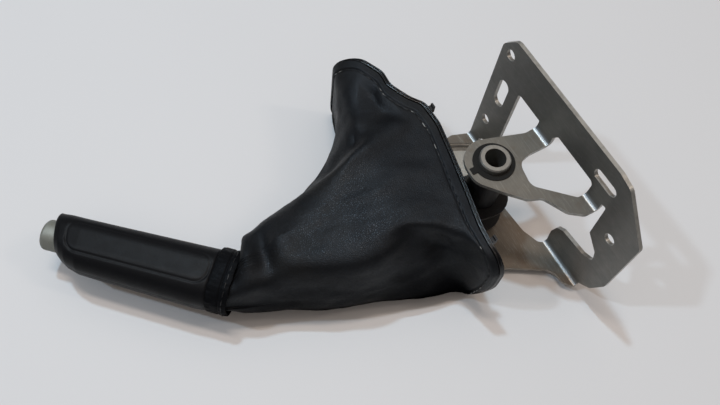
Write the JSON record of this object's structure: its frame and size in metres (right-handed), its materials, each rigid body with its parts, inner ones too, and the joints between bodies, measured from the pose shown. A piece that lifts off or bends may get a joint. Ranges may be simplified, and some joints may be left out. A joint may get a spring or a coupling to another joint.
{
  "type": "parking brake lever",
  "caption": "Parking brake lever with a push-button grip, leather boot and ratchet, on a pressed steel bracket with two ears and a slotted floor plate.",
  "frame": {"origin": "on the lever's pivot axis, midway between the bracket's two ears", "axes": "+Z along the pivot axis, up from the table the lever lies on; +X out of the floor plate's outer face; the lever points to -X and the grip turns towards +Y"},
  "size_m": [0.344, 0.2395, 0.134],
  "materials": {
    "bracket_steel": "dull zinc plating, stained and worn",
    "bush_plastic": "dull dark plastic",
    "sector_steel": "plain zinc plating",
    "rivet_steel": "plain zinc plating",
    "frame_plastic": "black moulding",
    "boot_leather": "fine grain, satin",
    "tube_steel": "drawn tube",
    "spacer_plastic": "black moulding",
    "arm_paint": "black dip paint",
    "grip_plastic": "soft black moulding with leather grain",
    "strap_leather": "satin",
    "guide_plastic": "natural plastic",
    "pin_steel": "turned",
    "spring_steel": "drawn wire",
    "button_metal": "silver paint, worn",
    "rod_steel": "drawn wire",
    "pawl_steel": "hardened stamping"
  },
  "bodies": {
    "bracket": {"mounting_bracket": "bracket_steel", "upper_bush": "bush_plastic", "lower_bush": "bush_plastic", "ratchet_sector": "sector_steel", "front_rivet": "rivet_steel", "middle_rivet": "rivet_steel", "back_rivet": "rivet_steel", "boot_frame": "frame_plastic", "front_frame_clip": "frame_plastic", "rear_frame_clip": "frame_plastic", "boot": "boot_leather"},
    "lever": {"pivot_tube": "tube_steel", "upper_spacer": "spacer_plastic", "lower_spacer": "spacer_plastic", "lever_arm": "arm_paint", "grip_tube": "tube_steel", "grip": "grip_plastic", "cuff_strap": "strap_leather", "rod_guide": "guide_plastic", "pawl_pin": "pin_steel", "pawl_clip": "pin_steel", "pawl_spring": "spring_steel", "cable_pin": "pin_steel", "cable_clip": "pin_steel", "button_spring": "spring_steel"},
    "button": {"release_button": "button_metal", "release_rod": "rod_steel"},
    "pawl": {"pawl": "pawl_steel"}
  },
  "joints": [
    {"name": "lever_swing", "type": "hinge", "parent": "bracket", "child": "lever", "pos_m": [0, 0, 0], "axis": [0, 0, 1], "range_deg": [-40, 8], "deforming": ["boot"]},
    {"name": "button_press", "type": "slide", "parent": "lever", "child": "button", "axis": [0.7408, -0.6717, 0], "range_m": [0, 0.008], "stiffness_N_per_m": 600, "springref_m": -0.01, "deforming": ["button_spring"]},
    {"name": "pawl_swing", "type": "hinge", "parent": "lever", "child": "pawl", "pos_m": [-0.0755, 0.00893, -0.037], "axis": [0, 0, 1], "range_deg": [0, 17], "deforming": ["pawl_spring"]}
  ],
  "couplings": [
    {"joint": "pawl_swing", "follows": "button_press", "rad_per_m": 36}
  ]
}
